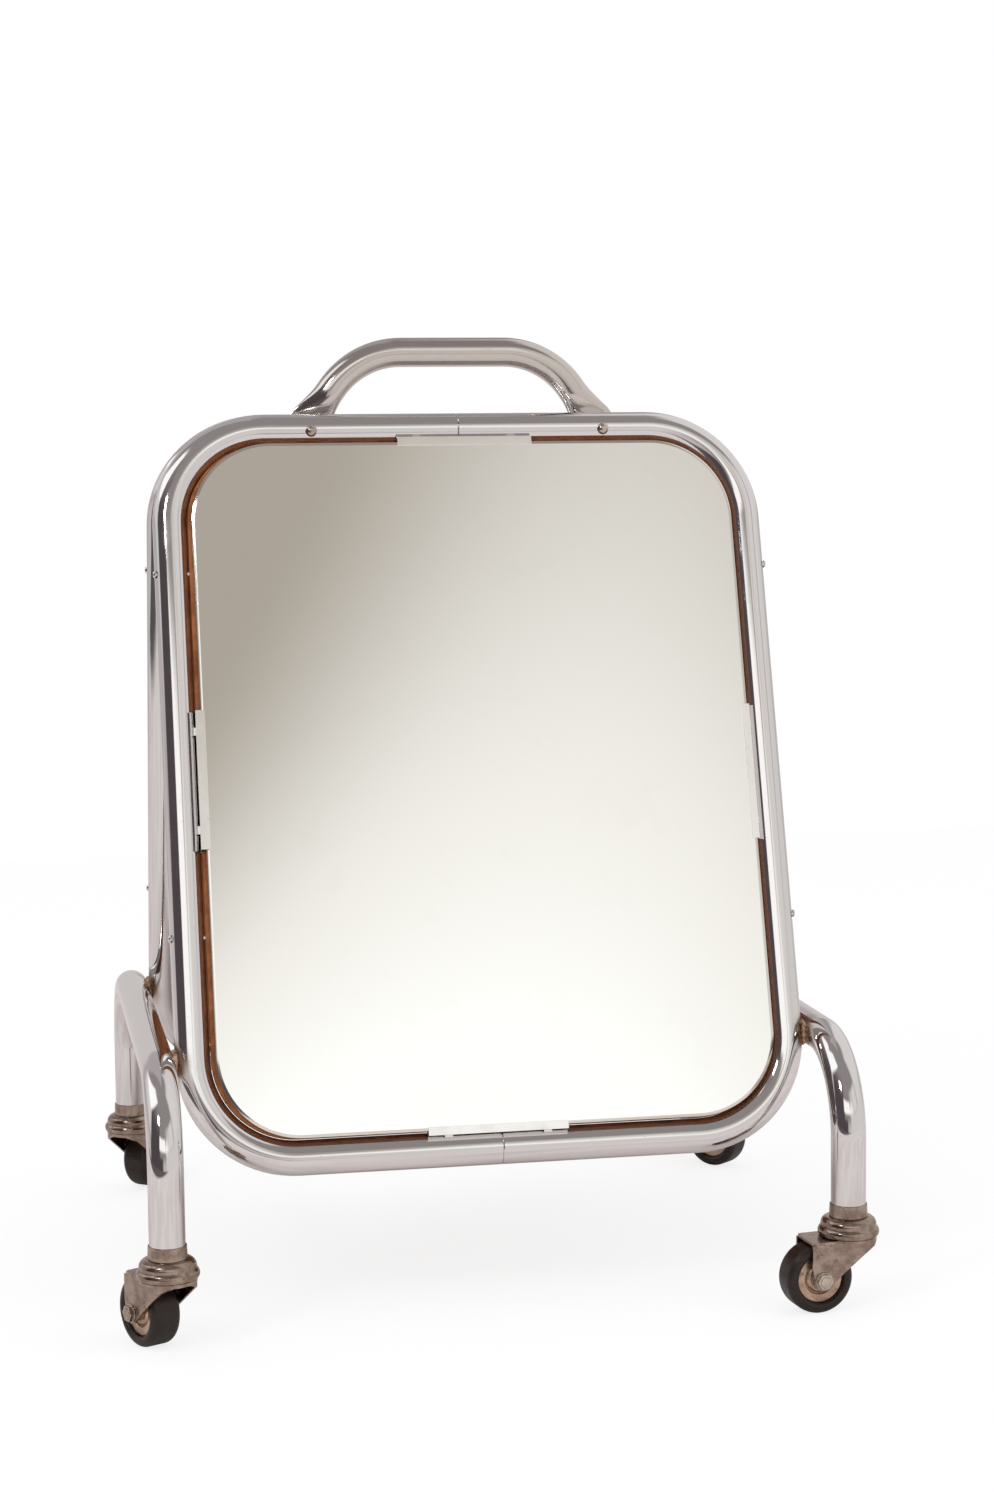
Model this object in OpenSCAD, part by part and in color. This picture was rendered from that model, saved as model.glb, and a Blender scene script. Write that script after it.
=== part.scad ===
// Rolling floor mirror. Two loops of chrome tube lean together into an A and are bolted to a
// carrying handle at the top. Each loop holds a bevelled mirror on a board, held by four clips.
// A tube hoop on each side joins the loops and stands on two swivel casters.
// X runs to the right, Y to the rear and Z up. The origin is on the floor, at the centre of the base.

/* [Tube] */
// Outside diameter of the frame and leg tube
tube_d = 25.4; // [22:0.1:28]
// Wall of the frame and leg tube
tube_wall = 1.5; // [1.2:0.1:2]

/* [Mirror frames] */
// Outside width of a frame loop
frame_w = 466; // [380:1:600]
// Outside height of a frame loop, along its slope
frame_h = 568; // [460:1:700]
// Bend radius of the loop corners, to the tube's centre line
frame_bend_r = 73; // [60:1:100]
// Lean of each loop from upright, in degrees
lean = 16.6; // [12:0.1:20]
// Height of the bottom tube's centre line over the floor
frame_z = 119.6; // [105:0.1:150]
// Hairline gap where the two halves of a loop meet
seam_gap = 0.2; // [0.1:0.1:1]
// Length of the sleeve inside each butt joint
sleeve_l = 60; // [30:1:90]
// Wall of the sleeve
sleeve_wall = 1.5; // [1:0.1:3]

/* [Leg hoops] */
// Distance of the legs beyond the loops' bottom tubes, to the front and to the rear
leg_out = 53.6; // [46:0.1:80]
// Height of the hoop's level run over the floor, to its centre line
hoop_z = 188.7; // [175:0.1:215]
// Bend radius of the hoop, to the tube's centre line
hoop_bend_r = 64; // [45:1:80]
// Gap between the hoop and the loop, bridged by the weld
weld_gap = 0.3; // [0.1:0.1:1]
// Radius of the ring that the weld bead follows
weld_ring_r = 7; // [5:0.1:9]
// Radius of the weld bead
weld_r = 3; // [2:0.1:4]

/* [Handle] */
// Outside diameter of the handle tube
handle_d = 22.2; // [16:0.1:25]
// Wall of the handle tube
handle_wall = 1.5; // [1:0.1:2.5]
// Height of the grip's centre line over the top tubes' centre line
handle_rise = 59.4; // [55:0.1:80]
// Straight length of the grip
grip_l = 79.6; // [60:0.1:140]
// Bend radius of the handle, to its centre line
handle_bend_r = 65; // [50:1:68]
// Slope of the handle's ends below level, in degrees
handle_slope = 55; // [50:1:58]
// Length of the flat tongue above the bolt
tongue_start = 14; // [13:1:16]
// Length of the flat tongue beyond the bolt
tongue_end = 12; // [8:1:14]
// Width of the flat tongue
tongue_w = 28; // [24:1:30]
// Thickness of the flat tongue
tongue_t = 2.8; // [2:0.1:4]
// Distance of the bolt inward from the tongue's centre line
bolt_in = 3; // [0:0.5:4]
// Diameter of the vent hole at the back of each end
vent_d = 3; // [2:0.1:5]
// Diameter of the handle bolts
handle_bolt_d = 5; // [4:0.1:6]
// Diameter of the handle bolt's round head
handle_bolt_head_d = 9; // [8:0.1:12]
// Width across the flats of the handle bolt's nut
handle_nut_w = 8; // [7:0.1:12]

/* [Mirrors and boards] */
// Distance of the glass's side edges inside the side tubes
glass_side = 1; // [0.8:0.1:1.3]
// Distance of the glass's top and bottom edges inside those tubes
glass_end = 0.3; // [0.3:0.1:1]
// How much smaller the corner radius of the glass is than the loop's bend radius
glass_corner_less = 12; // [10:0.5:14]
// Thickness of the mirror glass
glass_t = 5; // [4:0.1:6]
// Width of the polished bevel
bevel_w = 2.4; // [1:0.1:15]
// Depth of the polished bevel at the edge
bevel_drop = 0.8; // [0.3:0.1:3]
// Sideways shift of the glass on its board
glass_shift = 1.8; // [0:0.1:1.8]
// Thickness of the board behind the glass
board_t = 6; // [5.5:0.1:6.5]
// Distance of the board's back from the tube's centre plane
board_back = 1.8; // [1.6:0.1:2]
// Gap between the board's edge and the tube
board_gap = 0.33; // [0.2:0.01:1]
// Height on the loop of the lower board screws, over the bottom tube's centre line
screw_low = 161; // [120:1:200]
// Depth on the loop of the upper board screws, under the top tube's centre line
screw_high = 110.6; // [100:0.1:200]
// Diameter of the board screws
screw_d = 3.5; // [3:0.1:4]
// Diameter of the board screw's head
screw_head_d = 6; // [5:0.1:8]
// Height of the board screw's head
screw_head_h = 1.2; // [1:0.1:3]

/* [Mirror clips] */
// Length of a clip
clip_l = 103; // [60:1:140]
// Thickness of the clip's sheet
clip_t = 1; // [0.8:0.1:1]
// How far the top clip reaches back over the top tube
top_clip_over = 3.5; // [1.7:0.1:3.7]
// How far the bottom clip reaches back over the bottom tube
bottom_clip_over = 2.9; // [1.7:0.1:3.7]
// How far the left clip reaches back over the left tube
left_clip_over = 0.9; // [0.7:0.1:3]
// How far the right clip reaches back over the right tube
right_clip_over = 2; // [2:0.1:3]
// Width of the top clip's lip
top_lip_w = 6.7; // [6.5:0.1:9]
// Width of the bottom clip's lip
bottom_lip_w = 6.1; // [6:0.1:9]
// Width of the left clip's lip
left_lip_w = 7; // [6.8:0.1:9]
// Width of the right clip's lip
right_lip_w = 5.5; // [5:0.1:9]
// Width of the lip behind the board
rear_lip_w = 7; // [5:0.1:12]
// Sideways place of the top clip
top_clip_x = 4; // [-20:1:20]
// Sideways place of the bottom clip
bottom_clip_x = -3; // [-20:1:20]
// Height of the left clip over the middle of its tube
left_clip_y = 4; // [-20:1:20]
// Height of the right clip over the middle of its tube
right_clip_y = -2; // [-20:1:20]
// Distance of a tack weld from the clip's end
tack_inset = 15; // [8:1:25]

/* [Casters] */
// Diameter of the wheel over the tyre
wheel_d = 50.8; // [46:0.1:60]
// Width of the tyre
tyre_w = 23; // [18:0.1:24]
// Radius of the tyre's shoulders
shoulder_r = 5.1; // [3:0.1:6]
// Thickness of the tyre over the metal hub
tyre_t = 7.9; // [6.5:0.1:9]
// Distance of the hub's rim ring from the wheel's centre plane
ring_out = 8.3; // [7:0.1:9]
// Width of the hub's rim ring
ring_w = 6.2; // [3:0.1:6.5]
// Diameter of the axle
axle_d = 7.8; // [6:0.1:8]
// Distance from the swivel axis back to the wheel's axle
trail = 26; // [22:0.1:30]
// Clear width inside the fork
fork_in = 26.6; // [25:0.1:30]
// Thickness of the fork's sheet
fork_t = 1.8; // [1.5:0.1:2]
// Radius of the fork's round back
fork_r = 20.5; // [19:0.1:22]
// Length of the fork in front of the axle
fork_nose = 8.5; // [8:0.1:12]
// Radius of the fork's eye round the axle
fork_eye_r = 7.6; // [6.5:0.1:8]
// Clearance over the wheel, under the fork
wheel_gap = 1.1; // [0.8:0.1:3]
// Gap between the fork and the cup that turn on each other
swivel_gap = 0.7; // [0.5:0.1:1]
// Pitch radius of the ball race
race_r = 17.9; // [17.5:0.1:18.5]
// Outer radius of the cup's lower tier, in section
tier_r = 4.4; // [4:0.1:5]
// Outer radius of the cup's upper tier, in section
dome_r = 5.6; // [5:0.1:6]
// Sheet thickness of the cup
cup_t = 1.5; // [1.3:0.1:1.8]
// Diameter of the race balls
ball_d = 4.76; // [4:0.01:5]
// Number of balls in a race
ball_count = 14; // [8:1:18]
// Diameter of the kingpin
kingpin_d = 9.86; // [8:0.01:10]
// Wall of the socket collar round the leg
collar_wall = 1.2; // [1:0.1:2]
// Height of the socket collar
collar_h = 9.3; // [7:0.1:14]
// Length of the stem inside the leg
stem_l = 38; // [25:1:50]
// Compass angle of the front left caster at rest, from X towards Y
front_left_turn = 117; // [0:1:359]
// Compass angle of the front right caster at rest
front_right_turn = 187; // [0:1:359]
// Compass angle of the rear left caster at rest
rear_left_turn = 53; // [0:1:359]
// Compass angle of the rear right caster at rest
rear_right_turn = 310; // [0:1:359]

/* [Fits] */
// Clearance round bolts and screws in their holes
bolt_fit = 0.15; // [0.05:0.05:0.4]
// Radial running clearance of a turning joint
run_fit = 0.07; // [0.02:0.01:0.1]
// Clearance of tubes and plugs that are pushed together
push_fit = 0.05; // [0.02:0.01:0.1]
// Clearance of faces that are clamped together
face_fit = 0.1; // [0.05:0.01:0.2]

/* [Hidden] */
$fn = 64;

// colours
chrome = [0.82, 0.82, 0.84];
nickel = [0.48, 0.41, 0.37];
bronze = [0.58, 0.47, 0.38];
rubber = [0.13, 0.12, 0.11];
silvered = [0.86, 0.88, 0.87];
hardboard = [0.45, 0.27, 0.17];

// loops: the tube's centre line is a rounded rectangle, drawn in x (right) and y (up the slope),
// and z stands out of the loop towards its viewer
tube_r = tube_d / 2;
axis_w = frame_w - tube_d;
axis_h = frame_h - tube_d;
top_y = tube_r + tongue_t / 2 + push_fit;
foot_y = top_y + axis_h * sin(lean);
top_z = frame_z + axis_h * cos(lean);
// the casters at rest reach further to the rear than to the front, so the frame stands forward
// of the middle of its whole box
mid_y = -11.5;

// hoops
leg_x = axis_w / 2 + tube_d + weld_gap;
leg_y = round(10 * (foot_y + leg_out)) / 10;
cross_y = foot_y - (hoop_z - frame_z) * tan(lean);

// handle: the legs of the handle come down to the bolts at this distance from the middle
handle_r = handle_d / 2;
leg_drop = handle_rise - handle_bend_r * (1 - cos(handle_slope));
bolt_x = grip_l / 2 + handle_bend_r * sin(handle_slope) + leg_drop / tan(handle_slope) - bolt_in;
handle_leg_l = leg_drop / sin(handle_slope);
pinch_start = 5;
pinch_l = handle_leg_l - tongue_start - pinch_start;
handle_bolt_l = 2 * (top_y + tube_r) + 5.6;

// glass, board and clips, as distances out of the loop's plane and in from the tube's centre line
glass_w = axis_w - 2 * (tube_r + glass_side);
glass_h = axis_h - 2 * (tube_r + glass_end);
glass_corner_r = frame_bend_r - glass_corner_less;
board_front = board_back + board_t;
glass_front = board_front + glass_t;
board_inset = sqrt(tube_r * tube_r - board_back * board_back) + board_gap;
board_corner_r = frame_bend_r - board_inset;
clip_foot = tube_r + face_fit;
clip_foot_z = 3.4;
clip_foot_angle = atan(clip_foot_z / clip_foot);
clip_front = glass_front + face_fit + clip_t;
clip_rear = board_back - face_fit - clip_t;
clip_notch = clip_foot + clip_t + 0.3;
board_screw_l = 2 * tube_r + 10;
board_screw_z = board_back + board_t / 2 - 0.8;

// casters: heights over the floor, from the wheel up
axle_z = wheel_d / 2;
plate_z = wheel_d + wheel_gap;
plate_top = plate_z + fork_t;
cup_z = plate_top + swivel_gap;
tier_z = cup_z + 2.7;
dome_z = tier_z + 5.2;
cup_top = dome_z + dome_r;
leg_foot = cup_top + 2.1;
ball_z = tier_z + tier_r - cup_t - ball_d / 2 - 0.02;
race_top = ball_z - ball_d / 2 - 0.02;
dome_x = race_r - 3.3;
tread_r = wheel_d / 2;
hub_r = tread_r - tyre_t;
fork_half = fork_in / 2 + fork_t;

// points of an arc, for outlines
function arc(x, y, r, from, to, steps) =
    [for (i = [0:steps]) let (a = from + (to - from) * i / steps) [x + r * cos(a), y + r * sin(a)]];

// ---------------------------------------------------------------- shared shapes

module ring(r, wall) {
    difference() {
        circle(r);
        circle(r - wall);
    }
}

// a straight piece of tube along X
module straight(length, r, wall) {
    rotate([0, 90, 0])
        linear_extrude(length)
            ring(r, wall);
}

// a bend about the origin, from one compass angle on through a sweep
module bend(from, sweep, bend_r, r, wall) {
    rotate([0, 0, from])
        rotate_extrude(angle = sweep)
            translate([bend_r, 0])
                ring(r, wall);
}

module at_loop(face) {
    translate([0, mid_y, 0])
        rotate([0, 0, face == "front" ? 0 : 180])
            translate([0, -foot_y, frame_z])
                rotate([90 - lean, 0, 0])
                    children();
}

// x runs to the rear, y up and z to the right
module at_hoop(side) {
    translate([side * leg_x, mid_y, 0])
        rotate([90, 0, 90])
            children();
}

module at_caster(side, end, turn) {
    translate([side * leg_x, mid_y + end * leg_y, 0])
        rotate([0, 0, turn])
            children();
}

// the bottom tube lies along X at y = 0; y points into the loop
module at_side(where) {
    if (where == "bottom")
        translate([bottom_clip_x, 0, 0])
            children();
    if (where == "top")
        translate([top_clip_x, axis_h, 0])
            rotate([0, 0, 180])
                children();
    if (where == "left")
        translate([-axis_w / 2, axis_h / 2 + left_clip_y, 0])
            rotate([0, 0, -90])
                children();
    if (where == "right")
        translate([axis_w / 2, axis_h / 2 + right_clip_y, 0])
            rotate([0, 0, 90])
                children();
}

// a flat panel with round corners, built of four corners, four edges and a middle from one section
module panel(w, h, r, t, bevel, drop) {
    section = bevel > 0
        ? [[0, 0], [r, 0], [r, t - drop], [r - bevel, t], [0, t]]
        : [[0, 0], [r, 0], [r, t], [0, t]];
    for (k = [0:3]) {
        along = k % 2 == 0 ? h - 2 * r : w - 2 * r;
        across = k % 2 == 0 ? w / 2 - r : h / 2 - r;
        rotate([0, 0, 90 * k]) {
            translate([across, along / 2, 0])
                rotate_extrude(angle = 90)
                    polygon(section);
            translate([across, along / 2, 0])
                rotate([90, 0, 0])
                    linear_extrude(along)
                        polygon(section);
        }
    }
    translate([r - w / 2, r - h / 2, 0])
        cube([w - 2 * r, h - 2 * r, t]);
}

// ---------------------------------------------------------------- frame loops

// the right half of a loop, seen from the front of that loop
module half_loop() {
    reach = axis_w / 2 - frame_bend_r;
    for (y = [0, axis_h])
        translate([seam_gap / 2, y, 0])
            straight(reach - seam_gap / 2, tube_r, tube_wall);
    translate([reach, frame_bend_r, 0])
        bend(-90, 90, frame_bend_r, tube_r, tube_wall);
    translate([reach, axis_h - frame_bend_r, 0])
        bend(0, 90, frame_bend_r, tube_r, tube_wall);
    translate([axis_w / 2, frame_bend_r, 0])
        rotate([0, 0, 90])
            straight(axis_h - 2 * frame_bend_r, tube_r, tube_wall);
}

module board_screw_holes() {
    for (y = [screw_low, axis_h - screw_high])
        translate([0, y, board_screw_z])
            rotate([0, 90, 0])
                cylinder(r = screw_d / 2 + bolt_fit, h = axis_w);
}

module handle_bolt_holes() {
    for (side = [-1, 1])
        translate([side * bolt_x, mid_y - 60, top_z])
            rotate([-90, 0, 0])
                cylinder(r = handle_bolt_d / 2 + bolt_fit, h = 120);
}

module loop_half(face, side) {
    color(chrome)
        difference() {
            at_loop(face)
                mirror([side > 0 ? 0 : 1, 0, 0])
                    difference() {
                        half_loop();
                        board_screw_holes();
                    }
            handle_bolt_holes();
        }
}

module front_loop_left() loop_half("front", -1);
module front_loop_right() loop_half("front", 1);
module rear_loop_left() loop_half("rear", 1);
module rear_loop_right() loop_half("rear", -1);

module loop_joint_sleeves() {
    color(nickel)
        for (face = ["front", "rear"])
            at_loop(face)
                for (y = [0, axis_h])
                    translate([-sleeve_l / 2, y, 0])
                        straight(sleeve_l, tube_r - tube_wall - push_fit, sleeve_wall);
}

// ---------------------------------------------------------------- leg hoops

// the loop's side tube, as seen from the hoop
module loop_tube_cut(side, end) {
    translate([end * cross_y, hoop_z, -side * (tube_d + weld_gap)])
        rotate([0, 0, end * lean])
            rotate([90, 0, 0])
                cylinder(r = tube_r + face_fit, h = 60, center = true);
}

module weld_bead(side, end) {
    difference() {
        translate([end * cross_y, hoop_z, -side * (tube_r + weld_gap / 2)])
            rotate_extrude()
                translate([weld_ring_r, 0])
                    circle(weld_r);
        loop_tube_cut(side, end);
        translate([end * cross_y - 30, hoop_z, 0])
            rotate([0, 90, 0])
                cylinder(r = tube_r - tube_wall / 2, h = 60);
    }
}

module leg_hoop(side) {
    reach = leg_y - hoop_bend_r;
    color(chrome)
        at_hoop(side) {
            translate([-reach, hoop_z, 0])
                straight(2 * reach, tube_r, tube_wall);
            for (end = [0, 1])
                mirror([end, 0, 0]) {
                    translate([reach, hoop_z - hoop_bend_r, 0])
                        bend(0, 90, hoop_bend_r, tube_r, tube_wall);
                    translate([leg_y, leg_foot + push_fit, 0])
                        rotate([0, 0, 90])
                            straight(hoop_z - hoop_bend_r - leg_foot - push_fit, tube_r, tube_wall);
                }
            for (end = [-1, 1])
                weld_bead(side, end);
        }
}

module left_leg_hoop() leg_hoop(-1);
module right_leg_hoop() leg_hoop(1);

// ---------------------------------------------------------------- handle

// one sloping end, along X from the end of the bend, where the tube is pinched to a flat tongue.
// A vent hole at the back lets the plating run out of the tube.
module handle_leg() {
    difference() {
        translate([-2, 0, 0])
            straight(pinch_start + 2, handle_r - 0.1, handle_wall - 0.2);
        translate([pinch_start / 2 - 0.5, 0, -handle_r - 1])
            cylinder(r = vent_d / 2, h = handle_r);
    }
    intersection() {
        translate([pinch_start - 1, 0, 0])
            rotate([0, 90, 0])
                cylinder(r1 = handle_r - 0.3, r2 = tongue_w / 2, h = pinch_l + 1);
        translate([0, tongue_w, 0])
            rotate([90, 0, 0])
                linear_extrude(2 * tongue_w)
                    polygon([
                        [pinch_start - 2, handle_r - 0.3],
                        [pinch_start - 2, 0.3 - handle_r],
                        [pinch_start + pinch_l, -tongue_t / 2],
                        [pinch_start + pinch_l, tongue_t / 2]
                    ]);
    }
    translate([handle_leg_l, 0, -tongue_t / 2])
        linear_extrude(tongue_t)
            difference() {
                intersection() {
                    translate([pinch_l + pinch_start - 1 - handle_leg_l, -tongue_w / 2])
                        square([tongue_w + pinch_l, tongue_w]);
                    translate([-8, 0])
                        circle(tongue_end + 8);
                }
                translate([-bolt_in * cos(handle_slope), -bolt_in * sin(handle_slope)])
                    circle(handle_bolt_d / 2 + bolt_fit);
            }
}

module handle() {
    color(chrome)
        translate([0, mid_y, top_z + handle_rise])
            rotate([90, 0, 0]) {
                translate([-grip_l / 2, 0, 0])
                    straight(grip_l, handle_r, handle_wall);
                for (side = [0, 1])
                    mirror([side, 0, 0]) {
                        translate([grip_l / 2, -handle_bend_r, 0])
                            rotate([0, 0, 90])
                                mirror([0, 1, 0])
                                    bend(0, handle_slope, handle_bend_r, handle_r, handle_wall);
                        translate([
                            grip_l / 2 + handle_bend_r * sin(handle_slope),
                            handle_bend_r * (cos(handle_slope) - 1),
                            0
                        ])
                            rotate([0, 0, -handle_slope])
                                handle_leg();
                    }
            }
}

// the bolts run from the front of the front tube to a nut behind the rear tube
module handle_bolts() {
    head_h = 3.2;
    cap_r = (handle_bolt_head_d * handle_bolt_head_d / 4 + head_h * head_h) / (2 * head_h);
    color(nickel)
        for (side = [-1, 1])
            translate([side * bolt_x, mid_y - top_y - tube_r - 0.02, top_z])
                rotate([90, 0, 0]) {
                    difference() {
                        translate([0, 0, head_h - cap_r])
                            sphere(cap_r);
                        translate([0, 0, -20])
                            cylinder(r = 20, h = 20);
                    }
                    translate([0, 0, -handle_bolt_l])
                        cylinder(r = handle_bolt_d / 2, h = handle_bolt_l);
                }
}

module handle_nuts() {
    color(nickel)
        for (side = [-1, 1])
            translate([side * bolt_x, mid_y + top_y + tube_r + 0.02, top_z])
                rotate([-90, 0, 0])
                    difference() {
                        union() {
                            cylinder(d = handle_nut_w / cos(30), h = 3.6, $fn = 6);
                            translate([0, 0, 3.6])
                                cylinder(r1 = handle_nut_w / 2 - 0.2, r2 = handle_nut_w / 2 - 1.4, h = 3.4);
                            translate([0, 0, 7])
                                cylinder(r1 = handle_nut_w / 2 - 1.4, r2 = 1, h = 1.4);
                        }
                        translate([0, 0, -1])
                            cylinder(r = handle_bolt_d / 2 + push_fit, h = 7.2);
                    }
}

// ---------------------------------------------------------------- mirrors and boards

module mirror_pane(face) {
    color(silvered)
        at_loop(face)
            translate([glass_shift, axis_h / 2, board_front])
                panel(glass_w, glass_h, glass_corner_r, glass_t, bevel_w, bevel_drop);
}

module front_mirror() mirror_pane("front");
module rear_mirror() mirror_pane("rear");

// the board is cut back where the clips pass its edge
module board(face) {
    color(hardboard)
        at_loop(face)
            difference() {
                translate([0, axis_h / 2, board_back])
                    panel(axis_w - 2 * board_inset, axis_h - 2 * board_inset, board_corner_r, board_t, 0, 0);
                for (where = ["top", "bottom", "left", "right"])
                    at_side(where)
                        translate([-clip_l / 2 - 0.5, 0, board_back - 1])
                            cube([clip_l + 1, clip_notch, board_t + 2]);
                for (side = [0, 1])
                    mirror([side, 0, 0])
                        for (y = [screw_low, axis_h - screw_high])
                            translate([axis_w / 2 + tube_r - board_screw_l - 1, y, board_screw_z])
                                rotate([0, 90, 0])
                                    cylinder(r = screw_d / 2 + push_fit, h = board_screw_l);
            }
}

module front_board() board("front");
module rear_board() board("rear");

// screws through the side tubes into the board's edges
module board_screws() {
    color(nickel)
        for (face = ["front", "rear"])
            at_loop(face)
                for (side = [0, 1])
                    mirror([side, 0, 0])
                        for (y = [screw_low, axis_h - screw_high])
                            translate([axis_w / 2 + tube_r + 0.02, y, board_screw_z])
                                rotate([0, 90, 0]) {
                                    translate([0, 0, -board_screw_l])
                                        cylinder(r = screw_d / 2, h = board_screw_l);
                                    cylinder(r1 = screw_head_d / 2, r2 = screw_head_d / 2 - 1.2, h = screw_head_h);
                                }
}

// ---------------------------------------------------------------- clips

// height at which a clip's web has come past the tube, when its lip starts this far out
function clip_bend_z(out) =
    (clip_foot - out * cos(2 * clip_foot_angle)) / sin(2 * clip_foot_angle) + 0.1;

// section of a clip: y points into the loop from the tube's centre line and z out of the loop.
// The lip lies over the glass, the web steps round the tube, and the rear lip holds the board.
function clip_section(out, lip_w) =
    let (
        bend_z = clip_bend_z(out),
        mitre = clip_t * tan(atan((clip_foot - out) / (bend_z - clip_foot_z)) / 2)
    )
    [
        [out + lip_w, clip_front],
        [out, clip_front],
        [out, bend_z],
        [clip_foot, clip_foot_z],
        [clip_foot, clip_rear],
        [clip_foot + rear_lip_w, clip_rear],
        [clip_foot + rear_lip_w, clip_rear + clip_t],
        [clip_foot + clip_t, clip_rear + clip_t],
        [clip_foot + clip_t, clip_foot_z + mitre],
        [out + clip_t, bend_z + mitre],
        [out + clip_t, clip_front - clip_t],
        [out + lip_w, clip_front - clip_t]
    ];

// a clip with its tack welds to the tube
module clip(face, where, over, lip_w) {
    out = tube_r - over;
    tack_y = out - 0.6;
    tack_z = sqrt(pow(clip_foot + 0.7, 2) - tack_y * tack_y);
    color(chrome)
        at_loop(face)
            at_side(where) {
                translate([-clip_l / 2, 0, 0])
                    rotate([90, 0, 90])
                        linear_extrude(clip_l)
                            polygon(clip_section(out, lip_w));
                for (side = [-1, 1])
                    translate([side * (clip_l / 2 - tack_inset), 0, 0])
                        rotate([0, 90, 0])
                            difference() {
                                translate([-tack_z, tack_y, -3])
                                    cylinder(r = 1.5, h = 6);
                                translate([0, 0, -4])
                                    cylinder(r = clip_foot, h = 8);
                            }
            }
}

module front_top_clip() clip("front", "top", top_clip_over, top_lip_w);
module front_bottom_clip() clip("front", "bottom", bottom_clip_over, bottom_lip_w);
module front_left_clip() clip("front", "left", left_clip_over, left_lip_w);
module front_right_clip() clip("front", "right", right_clip_over, right_lip_w);
module rear_top_clip() clip("rear", "top", top_clip_over, top_lip_w);
module rear_bottom_clip() clip("rear", "bottom", bottom_clip_over, bottom_lip_w);
module rear_left_clip() clip("rear", "right", right_clip_over, right_lip_w);
module rear_right_clip() clip("rear", "left", left_clip_over, left_lip_w);

// ---------------------------------------------------------------- casters
// Each caster is drawn about its swivel axis, with the wheel out along +X.

// collar round the leg's foot and stem inside it
module stem_socket() {
    pin_r = kingpin_d / 2 + push_fit;
    collar_in = tube_r + push_fit;
    stem_r = tube_r - tube_wall - push_fit;
    color(nickel)
        rotate_extrude()
            polygon([
                [pin_r, cup_top],
                [collar_in + collar_wall, cup_top],
                [collar_in + collar_wall - 0.4, cup_top + collar_h],
                [collar_in, cup_top + collar_h],
                [collar_in, leg_foot],
                [stem_r, leg_foot],
                [stem_r, leg_foot + stem_l - 2],
                [stem_r - 1.5, leg_foot + stem_l],
                [stem_r - 3.5, leg_foot + stem_l],
                [stem_r - 3.5, leg_foot + 8],
                [pin_r, leg_foot + 8]
            ]);
}

// pressed cup in two rounded tiers, whose lower tier is the upper half of the ball race
module race_cup() {
    color(nickel)
        rotate_extrude()
            difference() {
                union() {
                    translate([race_r, tier_z])
                        circle(tier_r);
                    translate([0, tier_z])
                        square([race_r, tier_r]);
                    translate([dome_x, dome_z])
                        circle(dome_r);
                    translate([0, tier_z])
                        square([dome_x, cup_top - tier_z]);
                }
                translate([race_r, tier_z])
                    circle(tier_r - cup_t);
                translate([0, tier_z])
                    square([race_r, tier_r - cup_t]);
                translate([dome_x - 1, dome_z + 0.6])
                    circle(dome_r - cup_t - 0.8);
                translate([0, tier_z])
                    square([dome_x - 1, cup_top - tier_z - cup_t]);
                translate([0, cup_z - 10])
                    square([race_r + tier_r + 1, 10]);
                translate([0, cup_z - 10])
                    square([kingpin_d / 2 + push_fit, cup_top - cup_z + 20]);
                translate([0, cup_z - 1])
                    square([race_r, tier_z - cup_z + 1.01]);
            }
}

module race_balls() {
    color(chrome)
        for (i = [0:ball_count - 1])
            rotate([0, 0, i * 360 / ball_count])
                translate([race_r, 0, ball_z])
                    sphere(d = ball_d, $fn = 24);
}

// riveted pin that the fork turns on
module kingpin() {
    color(nickel) {
        translate([0, 0, plate_z - 0.1])
            cylinder(d = kingpin_d, h = leg_foot + 8 - plate_z);
        translate([0, 0, plate_z - 2.3])
            cylinder(r1 = 6.4, r2 = 7.6, h = 2.2);
    }
}

// side view of the fork: the ears come down from the plate to the eye round the axle
fork_side = concat(
    [[-fork_r - 2, plate_top], [trail + fork_nose, plate_top], [trail + fork_nose, axle_z + 10]],
    arc(trail, axle_z, fork_eye_r, 15, -140, 14),
    [[trail - 16.2, axle_z + 4.5], [-18.5, plate_z - 0.6], [-fork_r - 2, plate_z - 0.6]]
);

// plan of the fork's walls: straight ears joined by a round back
module fork_plan(half, r) {
    meet = asin(half / r);
    polygon(concat(
        [[trail + fork_nose + 5, -half], [trail + fork_nose + 5, half]],
        arc(0, 0, r, 180 - meet, 180 + meet, 12)
    ));
}

module fork_plate_plan() {
    meet = asin(fork_half / fork_r);
    nose = trail + fork_nose;
    corner = 4;
    polygon(concat(
        arc(nose - corner, corner - fork_half, corner, -90, 0, 5),
        arc(nose - corner, fork_half - corner, corner, 0, 90, 5),
        arc(0, 0, fork_r, meet, 360 - meet, 36)
    ));
}

module fork() {
    color(nickel)
        difference() {
            union() {
                translate([0, 0, plate_z])
                    linear_extrude(fork_t)
                        fork_plate_plan();
                intersection() {
                    difference() {
                        linear_extrude(plate_z)
                            fork_plan(fork_half, fork_r);
                        translate([0, 0, -1])
                            linear_extrude(plate_z + 1)
                                fork_plan(fork_in / 2, fork_r - fork_t);
                        translate([trail + fork_nose, -fork_half - 1, 0])
                            cube([10, 2 * fork_half + 2, plate_z]);
                    }
                    translate([0, fork_half + 1, 0])
                        rotate([90, 0, 0])
                            linear_extrude(2 * fork_half + 2)
                                polygon(fork_side);
                }
                translate([0, 0, plate_top])
                    linear_extrude(race_top - plate_top)
                        ring(race_r + 0.6, 2.5);
            }
            translate([0, 0, plate_z - 1])
                cylinder(r = kingpin_d / 2 + run_fit, h = fork_t + 5);
            translate([trail, fork_half + 1, axle_z])
                rotate([90, 0, 0])
                    cylinder(r = axle_d / 2 + push_fit, h = 2 * fork_half + 2);
        }
}

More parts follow.
